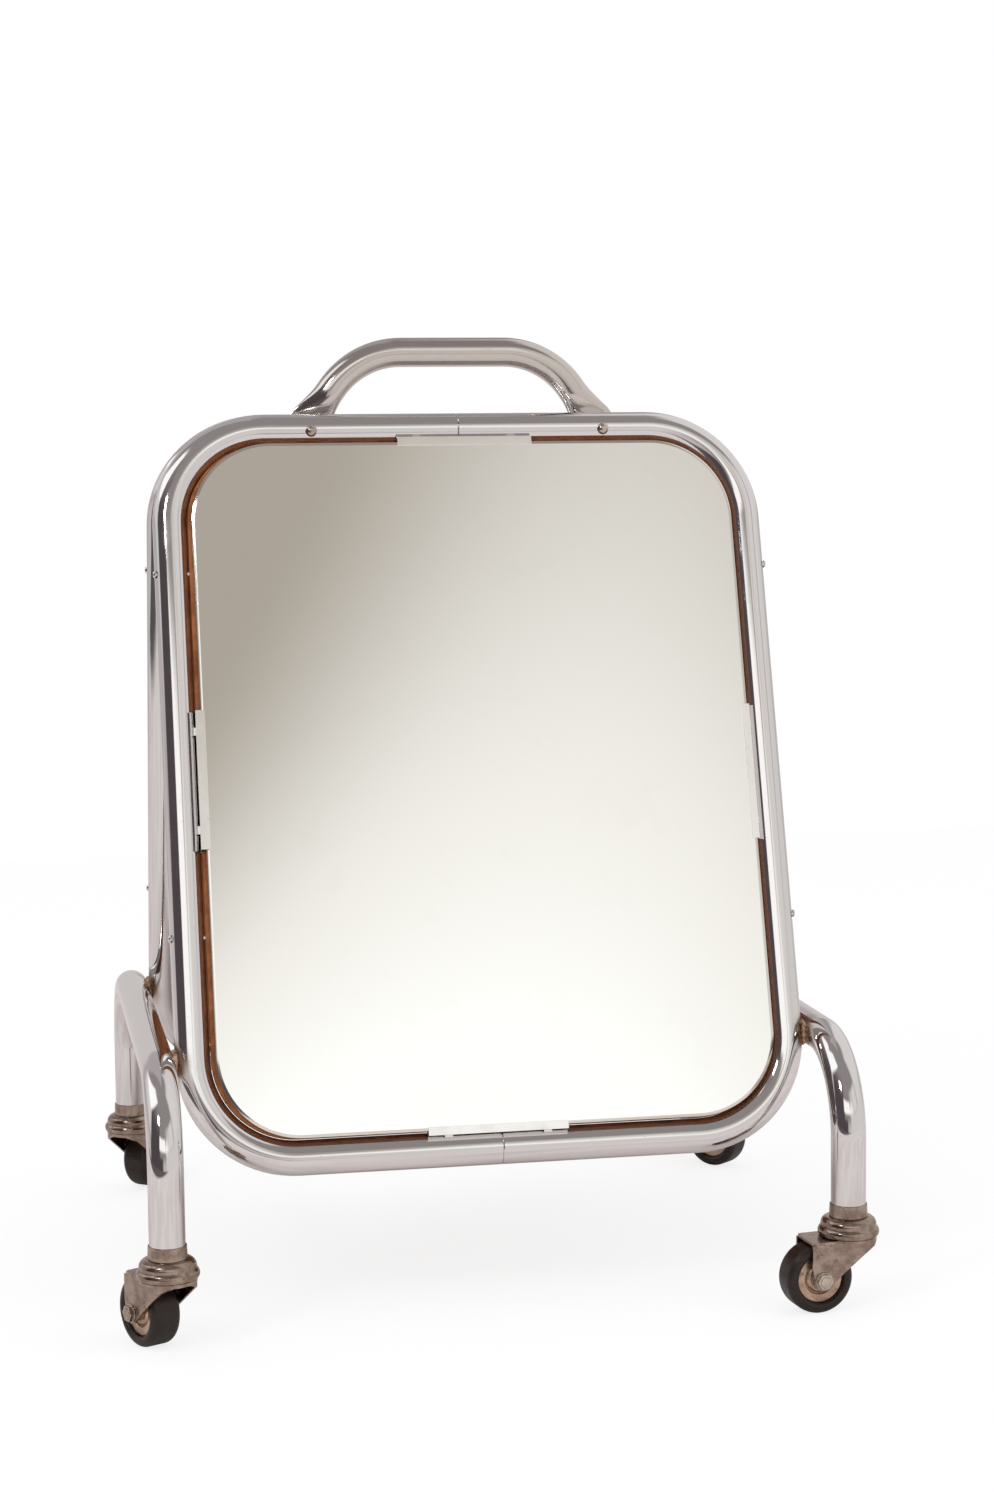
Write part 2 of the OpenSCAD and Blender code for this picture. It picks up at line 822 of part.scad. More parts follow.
module axle() {
    color(nickel)
        translate([trail, 0, axle_z])
            rotate([-90, 0, 0]) {
                translate([0, 0, -fork_half - 1])
                    cylinder(d = axle_d, h = 2 * fork_half + 5);
                translate([0, 0, -fork_half - 4 - face_fit])
                    cylinder(r = 6.4, h = 4, $fn = 6);
            }
}

module axle_nut() {
    color(nickel)
        translate([trail, fork_half + face_fit, axle_z])
            rotate([-90, 0, 0])
                difference() {
                    union() {
                        cylinder(r = 6.6, h = 0.9);
                        translate([0, 0, 0.9])
                            cylinder(r = 6.1, h = 2.6, $fn = 6);
                    }
                    translate([0, 0, -1])
                        cylinder(r = axle_d / 2 + push_fit, h = 6);
                }
}

// hub of two pressed discs: a broad rim ring, a groove, and a dish that rises to the bearing tube
module hub() {
    edge_r = 1;
    rise = 2.2;
    bore = axle_d / 2 + run_fit;
    core = ring_out - rise;
    ring_in = hub_r - ring_w;
    bearing_r = 6.3;
    half_bearing = fork_in / 2 - 0.4;
    color(bronze)
        translate([trail, 0, axle_z])
            rotate([90, 0, 0])
                rotate_extrude()
                    union() {
                        translate([bore, -core])
                            square([hub_r - bore, 2 * core]);
                        for (face = [-1, 1])
                            scale([1, face]) {
                                translate([ring_in, core])
                                    square([ring_w, rise - edge_r]);
                                translate([ring_in + edge_r, core])
                                    square([ring_w - 2 * edge_r, rise]);
                                for (x = [ring_in + edge_r, hub_r - edge_r])
                                    translate([x, ring_out - edge_r])
                                        circle(edge_r);
                                polygon([
                                    [bore, core], [ring_in - 1, core], [ring_in - 1, core + 1.2],
                                    [(ring_in + bearing_r) / 2, core + 2.5], [bearing_r, core + 2.9],
                                    [bearing_r, half_bearing], [bore, half_bearing]
                                ]);
                            }
                    }
}

module tyre() {
    side_r = 3;
    waist = tread_r - shoulder_r;
    seat = hub_r + push_fit;
    color(rubber)
        translate([trail, 0, axle_z])
            rotate([90, 0, 0])
                rotate_extrude()
                    union() {
                        for (face = [-1, 1])
                            scale([1, face]) {
                                intersection() {
                                    translate([waist, tyre_w / 2 - shoulder_r])
                                        circle(shoulder_r);
                                    translate([waist, 0])
                                        square([shoulder_r + 1, tyre_w]);
                                }
                                intersection() {
                                    translate([waist, tyre_w / 2 - side_r])
                                        circle(side_r);
                                    translate([seat, 0])
                                        square([waist - seat, tyre_w]);
                                }
                            }
                        translate([seat, side_r - tyre_w / 2])
                            square([waist - seat, tyre_w - 2 * side_r]);
                        translate([waist, shoulder_r - tyre_w / 2])
                            square([shoulder_r, tyre_w - 2 * shoulder_r]);
                    }
}

module front_left_stem_socket() at_caster(-1, -1, front_left_turn) stem_socket();
module front_left_race_cup() at_caster(-1, -1, front_left_turn) race_cup();
module front_left_race_balls() at_caster(-1, -1, front_left_turn) race_balls();
module front_left_kingpin() at_caster(-1, -1, front_left_turn) kingpin();
module front_left_fork() at_caster(-1, -1, front_left_turn) fork();
module front_left_axle() at_caster(-1, -1, front_left_turn) axle();
module front_left_axle_nut() at_caster(-1, -1, front_left_turn) axle_nut();
module front_left_hub() at_caster(-1, -1, front_left_turn) hub();
module front_left_tyre() at_caster(-1, -1, front_left_turn) tyre();

module front_right_stem_socket() at_caster(1, -1, front_right_turn) stem_socket();
module front_right_race_cup() at_caster(1, -1, front_right_turn) race_cup();
module front_right_race_balls() at_caster(1, -1, front_right_turn) race_balls();
module front_right_kingpin() at_caster(1, -1, front_right_turn) kingpin();
module front_right_fork() at_caster(1, -1, front_right_turn) fork();
module front_right_axle() at_caster(1, -1, front_right_turn) axle();
module front_right_axle_nut() at_caster(1, -1, front_right_turn) axle_nut();
module front_right_hub() at_caster(1, -1, front_right_turn) hub();
module front_right_tyre() at_caster(1, -1, front_right_turn) tyre();

module rear_left_stem_socket() at_caster(-1, 1, rear_left_turn) stem_socket();
module rear_left_race_cup() at_caster(-1, 1, rear_left_turn) race_cup();
module rear_left_race_balls() at_caster(-1, 1, rear_left_turn) race_balls();
module rear_left_kingpin() at_caster(-1, 1, rear_left_turn) kingpin();
module rear_left_fork() at_caster(-1, 1, rear_left_turn) fork();
module rear_left_axle() at_caster(-1, 1, rear_left_turn) axle();
module rear_left_axle_nut() at_caster(-1, 1, rear_left_turn) axle_nut();
module rear_left_hub() at_caster(-1, 1, rear_left_turn) hub();
module rear_left_tyre() at_caster(-1, 1, rear_left_turn) tyre();

module rear_right_stem_socket() at_caster(1, 1, rear_right_turn) stem_socket();
module rear_right_race_cup() at_caster(1, 1, rear_right_turn) race_cup();
module rear_right_race_balls() at_caster(1, 1, rear_right_turn) race_balls();
module rear_right_kingpin() at_caster(1, 1, rear_right_turn) kingpin();
module rear_right_fork() at_caster(1, 1, rear_right_turn) fork();
module rear_right_axle() at_caster(1, 1, rear_right_turn) axle();
module rear_right_axle_nut() at_caster(1, 1, rear_right_turn) axle_nut();
module rear_right_hub() at_caster(1, 1, rear_right_turn) hub();
module rear_right_tyre() at_caster(1, 1, rear_right_turn) tyre();

// ---------------------------------------------------------------- the parts

front_loop_left();
front_loop_right();
rear_loop_left();
rear_loop_right();
loop_joint_sleeves();
left_leg_hoop();
right_leg_hoop();
handle();
handle_bolts();
handle_nuts();
front_mirror();
rear_mirror();
front_board();
rear_board();
board_screws();
front_top_clip();
front_bottom_clip();
front_left_clip();
front_right_clip();
rear_top_clip();
rear_bottom_clip();
rear_left_clip();
rear_right_clip();
front_left_stem_socket();
front_left_race_cup();
front_left_race_balls();
front_left_kingpin();
front_left_fork();
front_left_axle();
front_left_axle_nut();
front_left_hub();
front_left_tyre();
front_right_stem_socket();
front_right_race_cup();
front_right_race_balls();
front_right_kingpin();
front_right_fork();
front_right_axle();
front_right_axle_nut();
front_right_hub();
front_right_tyre();
rear_left_stem_socket();
rear_left_race_cup();
rear_left_race_balls();
rear_left_kingpin();
rear_left_fork();
rear_left_axle();
rear_left_axle_nut();
rear_left_hub();
rear_left_tyre();
rear_right_stem_socket();
rear_right_race_cup();
rear_right_race_balls();
rear_right_kingpin();
rear_right_fork();
rear_right_axle();
rear_right_axle_nut();
rear_right_hub();
rear_right_tyre();
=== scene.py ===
import math

import bpy
from mathutils import Matrix, Vector


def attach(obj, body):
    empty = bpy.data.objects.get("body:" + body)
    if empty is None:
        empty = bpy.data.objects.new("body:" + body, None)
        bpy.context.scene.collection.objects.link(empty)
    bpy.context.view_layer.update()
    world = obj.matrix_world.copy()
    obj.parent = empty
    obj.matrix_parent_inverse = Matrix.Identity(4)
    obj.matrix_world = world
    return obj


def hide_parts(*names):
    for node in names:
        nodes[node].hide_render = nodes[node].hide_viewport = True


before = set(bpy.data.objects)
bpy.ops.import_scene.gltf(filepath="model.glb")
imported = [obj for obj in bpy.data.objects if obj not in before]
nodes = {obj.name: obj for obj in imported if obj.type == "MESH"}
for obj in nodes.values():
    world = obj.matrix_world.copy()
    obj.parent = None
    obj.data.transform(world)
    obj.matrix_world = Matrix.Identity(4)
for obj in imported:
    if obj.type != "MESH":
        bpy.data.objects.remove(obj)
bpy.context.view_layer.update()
ends = ["front_left", "front_right", "rear_left", "rear_right"]
print("frame loaded", len(nodes), "nodes")


# small helpers

hair = 0.00001  # points closer than this are one
quarterTurn = math.pi / 2


def leaveEdit():
    bpy.ops.object.mode_set(mode="OBJECT")


def pickNothing():
    if bpy.context.object and bpy.context.object.mode != "OBJECT":
        leaveEdit()
    bpy.ops.object.select_all(action="DESELECT")


def pick(piece):
    pickNothing()
    piece.select_set(True)
    bpy.context.view_layer.objects.active = piece


def edit(piece):  # into edit mode with the whole mesh selected
    pick(piece)
    bpy.ops.object.mode_set(mode="EDIT")
    bpy.ops.mesh.select_all(action="SELECT")


def settle(piece, place=None):  # bakes the piece's place into its mesh
    if place is not None:
        piece.matrix_world = place @ piece.matrix_world
    pick(piece)
    bpy.ops.object.transform_apply(location=True, rotation=True, scale=True)


def smooth(piece, angle=35):
    pick(piece)
    bpy.ops.object.shade_smooth_by_angle(angle=math.radians(angle))


def applyModifiers(piece):
    pick(piece)
    for modifier in list(piece.modifiers):
        bpy.ops.object.modifier_apply(modifier=modifier.name)


def faceOutwards(piece):
    edit(piece)
    bpy.ops.mesh.remove_doubles(threshold=hair / 2)
    bpy.ops.mesh.normals_make_consistent(inside=False)
    leaveEdit()


def selectFaces(piece, test):  # ends in edit mode, with the faces whose middle passes the test
    leaveEdit()
    for part in (piece.data.vertices, piece.data.edges, piece.data.polygons):
        for item in part:
            item.select = False
    for face in piece.data.polygons:
        face.select = test(face.center)
    bpy.ops.object.mode_set(mode="EDIT")
    bpy.ops.mesh.select_mode(type="FACE")


def copyOf(piece):  # with its own mesh
    other = piece.copy()
    other.data = piece.data.copy()
    bpy.context.collection.objects.link(other)
    return other


def paint(piece, *finishes):
    piece.data.materials.clear()
    for finish in finishes:
        piece.data.materials.append(finish)


# shader helpers

def spaced(words):  # Base_Color to Base Color
    return {key.replace("_", " "): value for key, value in words.items()}


class Wire:  # a shader socket that sums can be written with
    def __init__(self, maker, socket):
        self.maker = maker
        self.socket = socket

    def sum(self, operation, first, second):
        return self.maker.sum(operation, first, second)

    def __add__(self, other):
        return self.sum("ADD", self, other)

    def __radd__(self, other):
        return self.sum("ADD", other, self)

    def __sub__(self, other):
        return self.sum("SUBTRACT", self, other)

    def __rsub__(self, other):
        return self.sum("SUBTRACT", other, self)

    def __mul__(self, other):
        return self.sum("MULTIPLY", self, other)

    def __rmul__(self, other):
        return self.sum("MULTIPLY", other, self)

    def atMost(self, other):
        return self.sum("MINIMUM", self, other)

    def atLeast(self, other):
        return self.sum("MAXIMUM", self, other)

    def size(self):
        return self.sum("ABSOLUTE", self, 0)

    def output(self, name):  # another output of the same node
        return Wire(self.maker, self.socket.node.outputs[name])

    def rise(self, low, high):  # 0 below low, 1 above high, smooth between
        return self.maker.add("ShaderNodeMapRange", {"interpolation_type": "SMOOTHSTEP"},
                              {"Value": self, "From Min": low, "From Max": high})

    def fall(self, low, high):  # 1 below low, 0 above high
        return 1 - self.rise(low, high)

    def between(self, low, high, soft):  # 1 from low to high, with soft ends
        return self.rise(low - soft, low + soft) * self.fall(high - soft, high + soft)


class NodeTree:
    def __init__(self, tree):
        self.tree = tree
        tree.nodes.clear()

    def put(self, socket, value):
        if isinstance(value, Wire):
            self.tree.links.new(value.socket, socket)
        elif socket.type == "RGBA":
            socket.default_value = (*value, 1)
        else:
            socket.default_value = value

    def add(self, kind, settings=None, inputs=None, output=0):
        node = self.tree.nodes.new(kind)
        for key, value in (settings or {}).items():
            if key == "stops":
                ramp = node.color_ramp.elements
                while len(ramp) < len(value):
                    ramp.new(0.5)
                for stop, (place, colour) in zip(ramp, value):
                    stop.position = place
                    stop.color = (*colour, 1)
            else:
                setattr(node, key, value)
        for key, value in (inputs or {}).items():
            self.put(node.inputs[key], value)
        return Wire(self, node.outputs[output]) if len(node.outputs) else None

    def sum(self, operation, first, second):
        return self.add("ShaderNodeMath", {"operation": operation}, {0: first, 1: second})

    def noise(self, place, scale, detail=3, rough=0.5):
        return self.add("ShaderNodeTexNoise", {}, {"Vector": place, "Scale": scale, "Detail": detail,
                                                   "Roughness": rough})

    def blend(self, amount, first, second):
        return self.add("ShaderNodeMix", {"data_type": "RGBA"}, {0: amount, 6: first, 7: second}, 2)

    def layers(self, ground, covers):  # each cover is a mask and a colour, over what is there before
        for mask, colour in covers:
            ground = self.blend(mask, ground, colour)
        return ground

    def stretched(self, place, scale):
        return self.add("ShaderNodeVectorMath", {"operation": "MULTIPLY"}, {0: place, 1: scale})

    def near(self, place, point, low, high):  # 1 close to a point, 0 beyond high
        gap = self.add("ShaderNodeVectorMath", {"operation": "DISTANCE"}, {0: place, 1: point}, "Value")
        return gap.fall(low, high)

    def along(self, place, way):  # how far a place lies in a direction
        return self.add("ShaderNodeVectorMath", {"operation": "DOT_PRODUCT"}, {0: place, 1: way}, "Value")


class Finish(NodeTree):
    def __init__(self, name, **fixed):
        self.material = bpy.data.materials.new(name)
        self.material.use_nodes = True
        super().__init__(self.material.node_tree)
        self.shader = self.add("ShaderNodeBsdfPrincipled", {}, spaced(fixed))
        self.place = self.add("ShaderNodeTexCoord", {}, {}, "Object")

    def vary(self, **wires):
        for key, value in spaced(wires).items():
            self.put(self.shader.socket.node.inputs[key], value)

    def bump(self, height, distance, strength):
        self.vary(Normal=self.add("ShaderNodeBump", {}, {"Strength": strength, "Distance": distance,
                                                         "Height": height}))

    def done(self, surface=None):
        self.add("ShaderNodeOutputMaterial", {}, {"Surface": surface or self.shader})
        return self.material


# sizes shared by the pieces, in metres, with z up and y to the rear

body = {
    "midY": -0.0115, "lean": math.radians(16.6), "footY": 0.1691645, "bottomZ": 0.1196, "topZ": 0.6395858,
    "tubeRadius": 0.0127, "axisWidth": 0.4406, "axisHeight": 0.5426, "bendRadius": 0.073,
    "legX": 0.246, "legY": 0.2228, "hoopZ": 0.1887, "hoopBend": 0.064, "legFoot": 0.0705, "weldY": 0.148565,
}


def loopPlace(face):  # a loop's own frame: x right, y up the slope, z towards its viewer
    turn = Matrix.Rotation(0 if face == "front" else math.pi, 4, "Z")
    tilt = Matrix.Rotation(quarterTurn - body["lean"], 4, "X")
    return (Matrix.Translation((0, body["midY"], 0)) @ turn
            @ Matrix.Translation((0, -body["footY"], body["bottomZ"])) @ tilt)


def weldPoint(side, end, inset):  # where a side hoop crosses a loop
    return side * (body["legX"] - inset), body["midY"] + end * body["weldY"], body["hoopZ"]


# finishes

heatTint = {"core": 0.009, "reach": 0.019, "most": 0.8, "colour": (0.38, 0.26, 0.175)}  # beside each weld


def makeChrome(name, base, rough, smudge):
    chrome = Finish(name, Metallic=1.0)
    haze = chrome.noise(chrome.place, 38, 4, 0.6)
    wipes = chrome.noise(chrome.stretched(chrome.place, (1, 1, 0.25)), 120, 3, 0.6)
    pits = chrome.noise(chrome.place, 900, 2, 0.5).rise(0.70, 0.78)
    heat = 0
    for side in (-1, 1):
        for end in (-1, 1):
            spot = chrome.near(chrome.place, weldPoint(side, end, body["tubeRadius"]),
                               heatTint["core"], heatTint["reach"])
            heat = spot.atLeast(heat)
    heat = (heat * (0.3 + haze)).atMost(heatTint["most"])
    colour = chrome.layers(base, [(heat, heatTint["colour"]), (pits * 0.5, (0.20, 0.14, 0.10))])
    chrome.vary(Base_Color=colour,
                Roughness=rough + smudge * haze.rise(0.45, 0.75) + 0.5 * smudge * wipes.rise(0.5, 0.8)
                + 0.25 * heat + 0.2 * pits)
    chrome.bump(wipes + 0.4 * haze, 0.00002, 0.25)
    return chrome.done()


def makeAgedMetal(name, metallic, rough, light, dark, rust):
    metal = Finish(name, Metallic=metallic)
    cloud = metal.noise(metal.place, 90, 5, 0.6)
    grain = metal.noise(metal.place, 700, 3, 0.6)
    patch = metal.noise(metal.place, 160, 6, 0.65).rise(0.55, 0.70)
    scratch = metal.noise(metal.stretched(metal.place, (1, 1, 9)), 260, 2, 0.5).rise(0.62, 0.70)
    bright = tuple(min(1, v * 1.5) for v in light)
    colour = metal.layers(dark, [(cloud.rise(0.35, 0.65), light), (patch * 0.45, rust),
                                 (scratch * 0.35, bright)])
    metal.vary(Base_Color=colour,
               Roughness=rough + 0.25 * patch + 0.15 * (cloud - 0.5) - 0.08 * scratch)
    metal.bump(grain + 2 * patch, 0.00003, 0.25)
    return metal.done()


def makeMirror(name, base, rough):
    glass = Finish(name, Metallic=1.0)
    smear = glass.noise(glass.place, 22, 4, 0.6).rise(0.52, 0.72)
    specks = glass.noise(glass.place, 520, 2, 0.5).rise(0.74, 0.80)
    glass.vary(Base_Color=glass.blend(smear * 0.05 + specks * 0.25, base, (0.72, 0.69, 0.64)),
               Roughness=rough + 0.03 * smear + 0.1 * specks)
    return glass.done()


def makeBoard():
    board = Finish("hardboardBrown", Specular_IOR_Level=0.3)
    cloud = board.noise(board.place, 60, 5, 0.6)
    fibre = board.noise(board.stretched(board.place, (1, 1, 0.2)), 900, 4, 0.7)
    colour = board.layers((0.21, 0.072, 0.027), [(cloud.rise(0.3, 0.7), (0.42, 0.160, 0.062)),
                                                 (fibre.rise(0.55, 0.75) * 0.5, (0.13, 0.045, 0.018))])
    board.vary(Base_Color=colour, Roughness=0.55 + 0.25 * fibre)
    board.bump(fibre, 0.0002, 0.4)
    return board.done()


def makeRubber():
    rubber = Finish("tyreRubber", Specular_IOR_Level=0.42)
    dust = rubber.noise(rubber.place, 180, 5, 0.6).rise(0.45, 0.75)
    grain = rubber.noise(rubber.place, 1500, 2, 0.5)
    rubber.vary(Base_Color=rubber.blend(dust * 0.5, (0.014, 0.008, 0.006), (0.040, 0.026, 0.020)),
                Roughness=0.33 + 0.2 * dust)
    rubber.bump(grain, 0.0001, 0.3)
    return rubber.done()


def makeWeld():
    weld = Finish("weldBead", Metallic=0.85)
    cloud = weld.noise(weld.place, 300, 4, 0.6)
    burnt = [(0.3, (0.12, 0.065, 0.045)), (0.5, (0.50, 0.34, 0.22)), (0.7, (0.80, 0.70, 0.58))]
    weld.vary(Base_Color=weld.add("ShaderNodeValToRGB", {"stops": burnt}, {"Fac": cloud}),
              Roughness=0.25 + 0.3 * cloud)
    weld.bump(cloud, 0.0005, 0.5)
    return weld.done()


def makeEdge():
    edge = Finish("glassEdge", Roughness=0.12, Specular_IOR_Level=0.6)
    cloud = edge.noise(edge.place, 200, 3, 0.5)
    edge.vary(Base_Color=edge.blend(cloud.rise(0.5, 0.8), (0.26, 0.095, 0.042), (0.075, 0.075, 0.050)))
    return edge.done()


chrome = makeChrome("chromePlate", (0.80, 0.785, 0.79), rough=0.045, smudge=0.09)
sheetChrome = makeChrome("chromeSheet", (0.93, 0.915, 0.895), rough=0.17, smudge=0.10)
handleChrome = makeChrome("handleChrome", (0.68, 0.635, 0.605), rough=0.13, smudge=0.14)
nickel = makeAgedMetal("agedNickel", 1.0, 0.20, light=(0.46, 0.365, 0.305), dark=(0.27, 0.202, 0.165),
                       rust=(0.12, 0.072, 0.048))
bronze = makeAgedMetal("hubBronze", 0.9, 0.28, light=(0.62, 0.455, 0.340), dark=(0.40, 0.280, 0.205),
                       rust=(0.17, 0.110, 0.070))
steel = makeAgedMetal("boltSteel", 1.0, 0.22, light=(0.66, 0.580, 0.510), dark=(0.40, 0.330, 0.280),
                      rust=(0.22, 0.130, 0.080))
mirror = makeMirror("mirrorSilver", (0.935, 0.935, 0.920), rough=0.012)
bevelMirror = makeMirror("mirrorBevel", (0.86, 0.85, 0.79), rough=0.10)
board = makeBoard()
rubber = makeRubber()
weldMetal = makeWeld()
glassEdge = makeEdge()
print("finishes made")


# bent tube

tubeSides = 48


def startTube(radius, centre, turn):
    pickNothing()
    bpy.ops.mesh.primitive_circle_add(vertices=tubeSides, radius=radius, fill_type="NGON", location=centre,
                                      rotation=turn)
    edit(bpy.context.object)
    return bpy.context.object


def run(way):
    bpy.ops.mesh.extrude_region_move(TRANSFORM_OT_translate={"value": way})


def squeeze(centre, value):
    bpy.ops.transform.resize(value=[value] * 3, center_override=centre)


def tubeBend(centre, axis, degrees, steps=20):
    bpy.ops.mesh.spin(steps=steps, angle=-math.radians(degrees), center=centre, axis=axis)


def finishTube(tube, name, finish, place=None, angle=35):
    leaveEdit()
    tube.name = name
    faceOutwards(tube)
    settle(tube, place)
    smooth(tube, angle)
    paint(tube, finish)
    return tube


loopTube = {"lip": 0.0004, "lipDepth": 0.0005, "seam": 0.0001}  # the rounded rim at the butt seams


def makeLoopHalf(name, face, side):  # from the bottom seam round the side to the top seam
    r = body["tubeRadius"]
    h = body["axisHeight"]
    bend = body["bendRadius"]
    corner = side * (body["axisWidth"] / 2 - bend)
    seam = side * loopTube["seam"]
    rim = side * loopTube["lipDepth"]
    narrow = r - loopTube["lip"]
    tube = startTube(narrow, (seam, 0, 0), (0, quarterTurn, 0))
    run((rim, 0, 0))
    squeeze((seam + rim, 0, 0), r / narrow)
    run((corner - seam - rim, 0, 0))
    tubeBend((corner, bend, 0), (0, 0, 1), 90 * side)
    run((0, h - 2 * bend, 0))
    tubeBend((corner, h - bend, 0), (0, 0, 1), 90 * side)
    run((seam + rim - corner, 0, 0))
    run((-rim, 0, 0))
    squeeze((seam, h, 0), narrow / r)
    return finishTube(tube, name, chrome, loopPlace(face))


for face in ("front", "rear"):
    for side, word in ((-1, "left"), (1, "right")):
        seen = side if face == "front" else -side
        tube = makeLoopHalf(f"{face}LoopTube_{word}", face, seen)
        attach(tube, "frame")
        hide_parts(f"{face}_loop_{word}")
print("loops bent")


def makeHoop(name, side):  # from the front foot up, back and down to the rear foot
    x = side * body["legX"]
    bend = body["hoopBend"]
    foot = body["legFoot"]
    bendZ = body["hoopZ"] - bend
    front = body["midY"] - body["legY"]
    rear = body["midY"] + body["legY"]
    tube = startTube(body["tubeRadius"], (x, front, foot), (0, 0, 0))
    run((0, 0, bendZ - foot))
    tubeBend((x, front + bend, bendZ), (1, 0, 0), -90)
    run((0, rear - front - 2 * bend, 0))
    tubeBend((x, rear - bend, bendZ), (1, 0, 0), -90)
    run((0, 0, foot - bendZ))
    return finishTube(tube, name, chrome)


bead = {"major": 0.0074, "minor": 0.0022, "inset": 0.0129, "lump": 0.0014, "lumpSize": 0.005, "sink": 0.35,
        "round": 72, "section": 20, "shading": 80}


def makeBead(name, side, end):
    pickNothing()
    bpy.ops.mesh.primitive_torus_add(major_radius=bead["major"], minor_radius=bead["minor"],
                                     major_segments=bead["round"], minor_segments=bead["section"],
                                     location=weldPoint(side, end, bead["inset"]), rotation=(0, quarterTurn, 0))
    weld = bpy.context.object
    weld.name = name
    settle(weld)
    lumps = bpy.data.textures.new(name + "Lumps", "CLOUDS")
    lumps.noise_scale = bead["lumpSize"]
    ripple = weld.modifiers.new("ripple", "DISPLACE")
    ripple.texture = lumps
    ripple.strength = bead["lump"]
    ripple.mid_level = bead["sink"]
    applyModifiers(weld)
    smooth(weld, bead["shading"])
    paint(weld, weldMetal)
    return weld


for side, word in ((-1, "left"), (1, "right")):
    hoop = makeHoop(f"legHoopTube_{word}", side)
    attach(hoop, "frame")
    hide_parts(f"{word}_leg_hoop")
    for end, place in ((-1, "front"), (1, "rear")):
        weld = makeBead(f"weldBead_{place}_{word}", side, end)
        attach(weld, "frame")
print("hoops bent and welded")


# handle

handle = {"radius": 0.0111, "rise": 0.0594, "gripHalf": 0.0398, "bend": 0.065, "slope": 55, "leg": 0.0387,
          "bendSteps": 16, "pinchStart": 0.002, "pinchLength": 0.028, "pinchSteps": 16, "tongue": 0.0028,
          "tongueWide": 0.031, "end": 0.012, "endSteps": 8, "endRound": 0.92}


def makeHandle():  # its right half, then a mirrored copy joined to it
    r = handle["radius"]
    slope = math.radians(handle["slope"])
    bend = handle["bend"]
    top = body["topZ"] + handle["rise"]
    y = body["midY"]
    tube = startTube(r, (0, y, top), (0, quarterTurn, 0))
    run((handle["gripHalf"], 0, 0))
    tubeBend((handle["gripHalf"], y, top - bend), (0, 1, 0), handle["slope"], handle["bendSteps"])
    down = Vector((math.cos(slope), 0, -math.sin(slope)))
    spot = Vector((handle["gripHalf"] + bend * math.sin(slope), y, top - bend * (1 - math.cos(slope))))
    legFrame = Matrix.Rotation(slope, 3, "Y")  # x along the leg, z across it in the plane of the handle
    wide, thick = 1.0, 1.0

    def step(length, newWide, newThick):
        nonlocal spot, wide, thick
        run(down * length)
        spot = spot + down * length
        bpy.ops.transform.resize(value=(1, newThick / thick, newWide / wide), orient_type="GLOBAL",
                                 orient_matrix=legFrame, orient_matrix_type="GLOBAL", center_override=spot)
        wide, thick = newWide, newThick

    flat = handle["tongue"] / 2 / r
    broad = handle["tongueWide"] / 2 / r
    pinches = handle["pinchSteps"]
    step(handle["pinchStart"], 1.0, 1.0)
    for i in range(1, pinches + 1):
        t = i / pinches
        ease = t * t * (2 - t)
        step(handle["pinchLength"] / pinches, 1 + (broad - 1) * ease, 1 + (flat - 1) * ease)
    step(handle["leg"] - handle["pinchStart"] - handle["pinchLength"], broad, flat)
    for i in range(1, handle["endSteps"] + 1):  # the tongue's round end
        t = i / handle["endSteps"]
        step(handle["end"] / handle["endSteps"], broad * math.sqrt(1 - handle["endRound"] * t * t), flat)
    leaveEdit()
    settle(tube)
    faceOutwards(tube)
    other = copyOf(tube)
    other.scale = (-1, 1, 1)
    settle(other)
    pick(tube)
    other.select_set(True)
    bpy.ops.object.join()
    selectFaces(tube, lambda centre: abs(centre.x) < hair)
    bpy.ops.mesh.delete(type="ONLY_FACE")
    return finishTube(tube, "handleTube", handleChrome, None, 40)


handlePiece = makeHandle()
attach(handlePiece, "frame")
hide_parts("handle")
print("handle bent")


# mirrors

pane = {"width": 0.4132, "height": 0.5166, "corner": 0.061, "thick": 0.005, "bevel": 0.0024, "drop": 0.0008,
        "back": 0.0078, "shift": 0.0018, "arris": 0.0003, "cornerSteps": 28, "shading": 12}


def makePane(name, face):
    pickNothing()
    bpy.ops.mesh.primitive_plane_add(size=1, location=(pane["shift"], body["axisHeight"] / 2, pane["back"]))
    glass = bpy.context.object
    glass.name = name
    glass.scale = (pane["width"], pane["height"], 1)
    settle(glass)
    edit(glass)
    bpy.ops.mesh.bevel(affect="VERTICES", offset=pane["corner"], segments=pane["cornerSteps"])
    bpy.ops.mesh.select_all(action="SELECT")
    bpy.ops.mesh.normals_make_consistent(inside=False)
    run((0, 0, pane["thick"] - pane["drop"]))
    leaveEdit()
    top = max(v.co.z for v in glass.data.vertices)
    selectFaces(glass, lambda centre: centre.z > top - hair)
    rise = pane["arris"] / 2  # a narrow arris first, then the wide bevel
    bpy.ops.mesh.inset(thickness=pane["arris"], depth=rise)
    bpy.ops.mesh.inset(thickness=pane["bevel"] - pane["arris"], depth=pane["drop"] - rise)
    leaveEdit()
    faceOutwards(glass)
    paint(glass, mirror, bevelMirror, glassEdge)
    for polygon in glass.data.polygons:  # face, bevel, then edge and back
        up = polygon.normal.z
        polygon.material_index = 0 if up > 0.999 else 1 if up > 0.90 else 2
    settle(glass, loopPlace(face))
    smooth(glass, pane["shading"])
    return glass


for face in ("front", "rear"):
    glass = makePane(f"{face}MirrorPane", face)
    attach(glass, "frame")
    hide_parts(f"{face}_mirror")
print("mirrors cut and bevelled")


# pieces taken from the frame, with softened edges

softening = {"flat": 1.5, "sharp": 30, "segments": 2, "shading": 42, "ballGap": 0.00005}


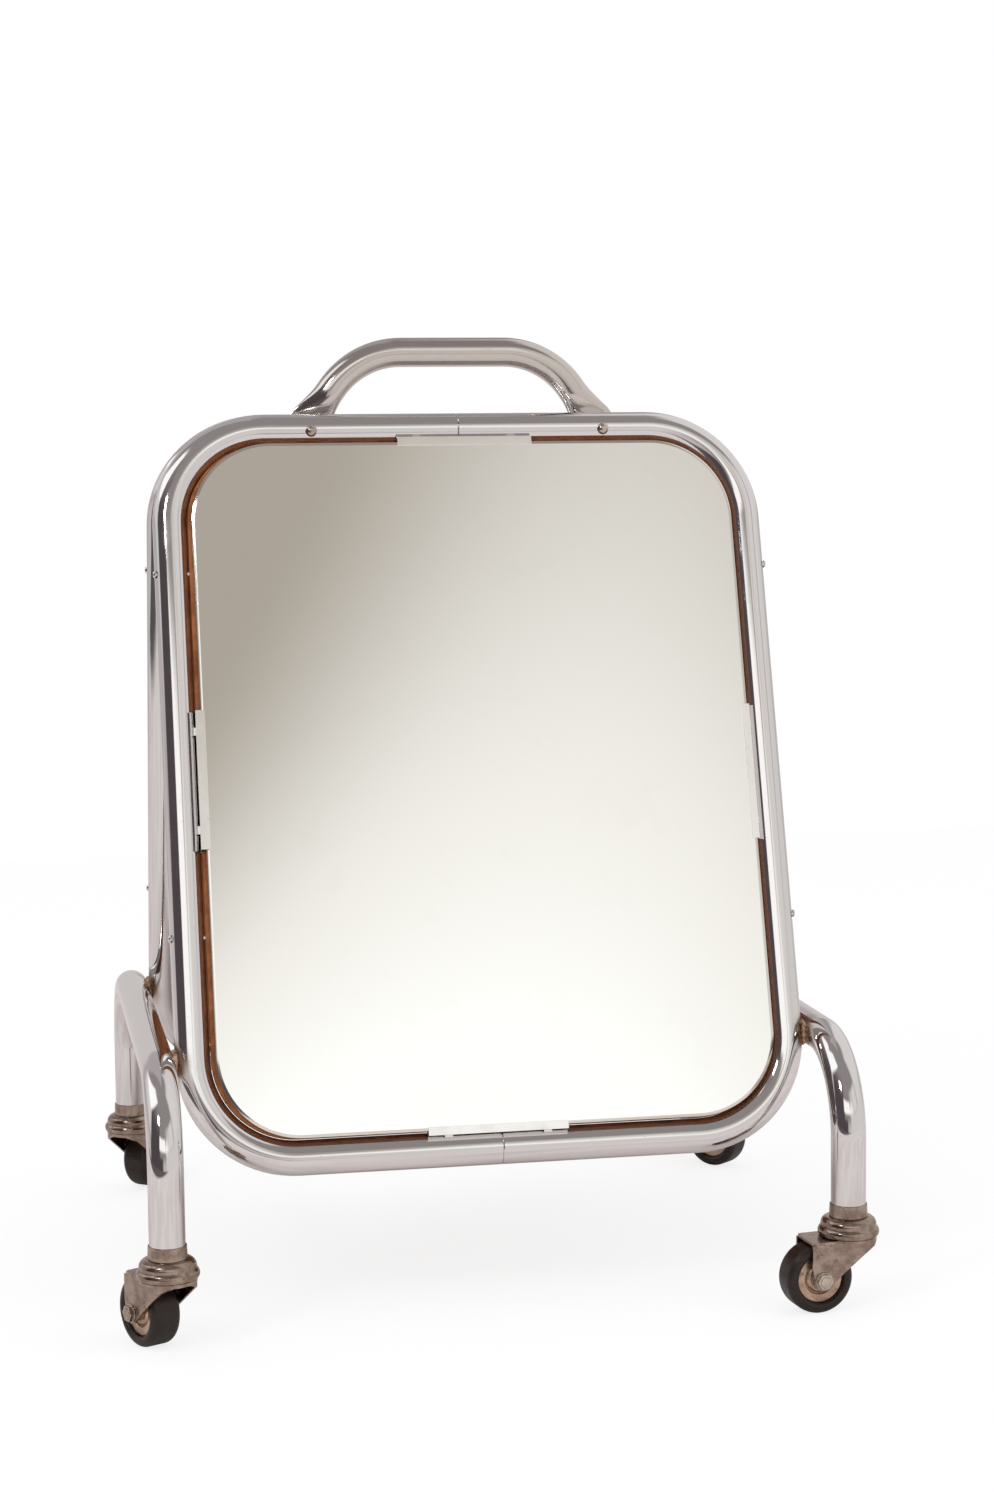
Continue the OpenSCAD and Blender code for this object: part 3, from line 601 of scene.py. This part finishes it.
def soften(node, width, finish, slot):
    piece = copyOf(nodes[node])
    piece.name = node + "_made"
    piece.hide_set(False)
    edit(piece)
    bpy.ops.mesh.remove_doubles(threshold=hair)
    if node.endswith("race_balls"):  # a hair smaller, so that their facets cannot touch the cup
        bpy.ops.transform.shrink_fatten(value=-softening["ballGap"])
    bpy.ops.mesh.dissolve_limited(angle_limit=math.radians(softening["flat"]))
    leaveEdit()
    if width:
        edge = piece.modifiers.new("edge", "BEVEL")
        edge.width = width
        edge.segments = softening["segments"]
        edge.limit_method = "ANGLE"
        edge.angle_limit = math.radians(softening["sharp"])
        applyModifiers(piece)
        smooth(piece, softening["shading"])
        piece.modifiers.new("flats", "WEIGHTED_NORMAL").keep_sharp = True
        applyModifiers(piece)
    else:
        smooth(piece, softening["sharp"])
    paint(piece, finish)
    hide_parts(node)
    return piece


casterPieces = {  # for each body of a caster: kind, edge width, finish and slot
    "frame": [("stem_socket", 0.0003, nickel, "nickel"), ("race_cup", 0.0002, nickel, "nickel"),
              ("kingpin", 0.0002, nickel, "nickel")],
    "swivel": [("fork", 0.0004, nickel, "nickel"), ("axle", 0.0003, steel, "nickel"),
               ("axle_nut", 0.0003, steel, "nickel"), ("race_balls", 0, steel, "bright_steel")],
    "wheel": [("hub", 0.0002, bronze, "bronzed_steel"), ("tyre", 0, rubber, "rubber")],
}

for face in ("front", "rear"):
    for where in ("top", "bottom", "left", "right"):
        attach(soften(f"{face}_{where}_clip", 0.0002, sheetChrome, "chrome"), "frame")
for end in ends:
    for mover, kinds in casterPieces.items():
        for kind, width, finish, slot in kinds:
            rider = "frame" if mover == "frame" else f"{end}_{mover}"
            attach(soften(f"{end}_{kind}", width, finish, slot), rider)
for node, finish in (("handle_bolts", steel), ("handle_nuts", steel), ("board_screws", chrome)):
    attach(soften(node, 0.0002, finish, "steel"), "frame")
for node in ("front_board", "rear_board"):
    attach(soften(node, 0.0003, board, "hardboard"), "frame")
paint(nodes["loop_joint_sleeves"], steel)  # inside the tubes, so the CAD node stays
print("clips, casters and fasteners finished")


# stage, light and camera

white = (1, 1, 1)
stage = {"size": 4.6, "whiteness": 0.80, "floor": (0.72, 0.67, 0.645), "pooledShade": (0.63, 0.58, 0.56),
         "dark": (0.09, 0.08, 0.08), "darkWay": (-0.8, -0.6, 0), "darkFrom": 0.95, "darkTo": 1.2}


def makeFloor():
    pickNothing()
    bpy.ops.mesh.primitive_plane_add(size=stage["size"], location=(0, 0, 0))
    plane = bpy.context.object
    plane.name = "paleFloor"
    finish = Finish("paleFloor", Roughness=0.9, Specular_IOR_Level=0.1)
    # the floor colour holds painted pools of light and shade, which the legs and tubes mirror, and painted
    # shade far off to the front left
    paintedPools = finish.noise(finish.place, 5, 2).rise(0.38, 0.62)
    unlit = finish.along(finish.place, stage["darkWay"]).rise(stage["darkFrom"], stage["darkTo"])
    colour = finish.layers(stage["floor"], [(paintedPools, stage["pooledShade"]), (unlit, stage["dark"])])
    # the camera sees mostly plain white with the shadow in it, all other rays see the colour
    seen = finish.add("ShaderNodeLightPath")
    finish.vary(Base_Color=finish.blend(seen, colour, white))
    plain = finish.add("ShaderNodeEmission", {}, {"Color": white, "Strength": 1.0})
    both = finish.add("ShaderNodeMixShader", {}, {0: seen * stage["whiteness"], 1: finish.shader, 2: plain})
    paint(plane, finish.done(both))
    return plane


floor = makeFloor()

studio = {"low": (0.60, 0.56, 0.54), "high": (0.30, 0.275, 0.27), "rightWall": (0.80, 0.77, 0.75),
          "skirting": (0.74, 0.71, 0.69), "backLeft": (0.46, 0.43, 0.43), "dark": (0.085, 0.068, 0.072),
          "leftBox": (0.74, 0.72, 0.71), "tiltedBox": (1.22, 1.21, 1.20), "strip": (1.18, 1.17, 1.14),
          "back": (0.64, 0.60, 0.59), "diffuse": (0.92, 0.92, 0.93)}
panel = {"dim": (0.435, 0.392, 0.338), "bright": (0.975, 0.960, 0.915), "glare": (1.09, 1.09, 1.07),
         "rightSide": (0.78, 0.745, 0.72), "sides": (4, 19), "heights": (0.32, 0.56),
         "level": 4.177, "perSide": 0.0108, "sideBow": -0.00829, "together": 0.46485,
         "heightBow": 1.24428, "perHeight": -11.32865}


def makeWorld():
    world = bpy.data.worlds.new("studio")
    bpy.context.scene.world = world
    world.use_nodes = True
    sky = NodeTree(world.node_tree)
    way = sky.add("ShaderNodeSeparateXYZ", {}, {0: sky.add("ShaderNodeTexCoord", {}, {}, "Generated")})
    x, y, z = (way.output(axis) for axis in "XYZ")
    side = sky.sum("ARCTAN2", x, 0 - y) * math.degrees(1)  # 0 towards the camera, + to the right
    height = sky.sum("ARCSINE", z, 0) * math.degrees(1)

    # the panel that the front mirror faces: level is 0 where it is dim and 1 where it is bright
    across = side.atLeast(panel["sides"][0]).atMost(panel["sides"][1])
    climb = z.atLeast(panel["heights"][0]).atMost(panel["heights"][1])
    level = panel["level"] + across * (panel["perSide"] + panel["sideBow"] * across + panel["together"] * climb)
    level = level + climb * (panel["heightBow"] * climb + panel["perHeight"])
    panelLight = sky.layers(panel["dim"], [
        (level.rise(0, 1), panel["bright"]),
        (level.rise(0.88, 1.25), panel["glare"]),
        (side.rise(20, 34), panel["rightSide"]),
    ])

    tilted = side - (height - 40) * 1.1
    glow = sky.blend(height.rise(0, 14), studio["low"], studio["high"])
    glow = sky.layers(glow, [
        (side.between(62, 158, 8) * height.between(8, 70, 6), studio["rightWall"]),
        (side.between(4, 110, 5) * height.between(-12, 16, 4), studio["skirting"]),
        ((0 - side).rise(132, 144).atLeast(side.rise(156, 180)), studio["backLeft"]),
        (side.between(-96, -36, 4) * height.fall(24, 60), studio["dark"]),
        (side.between(-100, -16, 5) * height.fall(6, 14), studio["dark"]),
        (side.between(-142, -97, 4) * height.between(9, 26, 4), studio["leftBox"]),
        (tilted.between(-123, -85, 4) * height.between(25, 60, 3), studio["tiltedBox"]),
        (side.between(1, 58, 3) * height.between(15, 40, 4), panelLight),
        (side.between(-38, 1, 3) * height.between(16, 29.5, 2.5), studio["strip"]),
        (side.size().rise(148, 158) * height.fall(15, 24), studio["back"]),
    ])

    # metal and glass mirror the studio, matt surfaces get plain light, and the camera sees white
    rays = sky.add("ShaderNodeLightPath")
    colour = sky.blend(rays.output("Is Glossy Ray"), studio["diffuse"], glow)
    colour = sky.blend(rays.output("Is Camera Ray"), colour, white)
    sky.add("ShaderNodeOutputWorld", {}, {"Surface": sky.add("ShaderNodeBackground", {}, {"Color": colour})})


makeWorld()

lampAim = Vector((0, 0, 0.35))
lamps = [
    {"name": "keyLamp", "place": (-1.6, -1.8, 2.2), "size": 1.2, "power": 15, "mirrored": False},
    {"name": "fillLamp", "place": (1.9, -1.2, 1.6), "size": 1.4, "power": 9, "mirrored": False},
    {"name": "sparkLamp", "place": (-1.5, -1.5, 1.9), "size": 0.38, "power": 6, "mirrored": True},
]  # only the spark shows in the metal, as small bright highlights
for lamp in lamps:
    data = bpy.data.lights.new(lamp["name"], "AREA")
    data.size = lamp["size"]
    data.energy = lamp["power"]
    light = bpy.data.objects.new(lamp["name"], data)
    bpy.context.collection.objects.link(light)
    light.location = lamp["place"]
    light.visible_glossy = lamp["mirrored"]
    light.rotation_euler = (lampAim - light.location).to_track_quat("-Z", "Y").to_euler()

view = {"place": (-0.36373, -2.11604, 0.60734), "yaw": 0.18595, "pitch": 0.09884, "roll": -0.01087,
        "lens": 66.667, "sensor": 36}


def placeCamera():
    yaw, pitch, roll = view["yaw"], view["pitch"], view["roll"]
    ahead = Vector((math.sin(yaw) * math.cos(pitch), math.cos(yaw) * math.cos(pitch), -math.sin(pitch)))
    flatRight = Vector((math.cos(yaw), -math.sin(yaw), 0))
    flatUp = flatRight.cross(ahead)
    right = math.cos(roll) * flatRight + math.sin(roll) * flatUp
    up = -math.sin(roll) * flatRight + math.cos(roll) * flatUp
    data = bpy.data.cameras.new("photoCamera")
    data.sensor_fit = "VERTICAL"
    data.sensor_height = view["sensor"]
    data.lens = view["lens"]
    camera = bpy.data.objects.new("photoCamera", data)
    bpy.context.collection.objects.link(camera)
    turn = Matrix((right, up, -ahead)).transposed().to_4x4()
    camera.matrix_world = Matrix.Translation(view["place"]) @ turn
    bpy.context.scene.camera = camera


placeCamera()
bpy.context.scene.view_settings.view_transform = "Standard"
print("stage set")
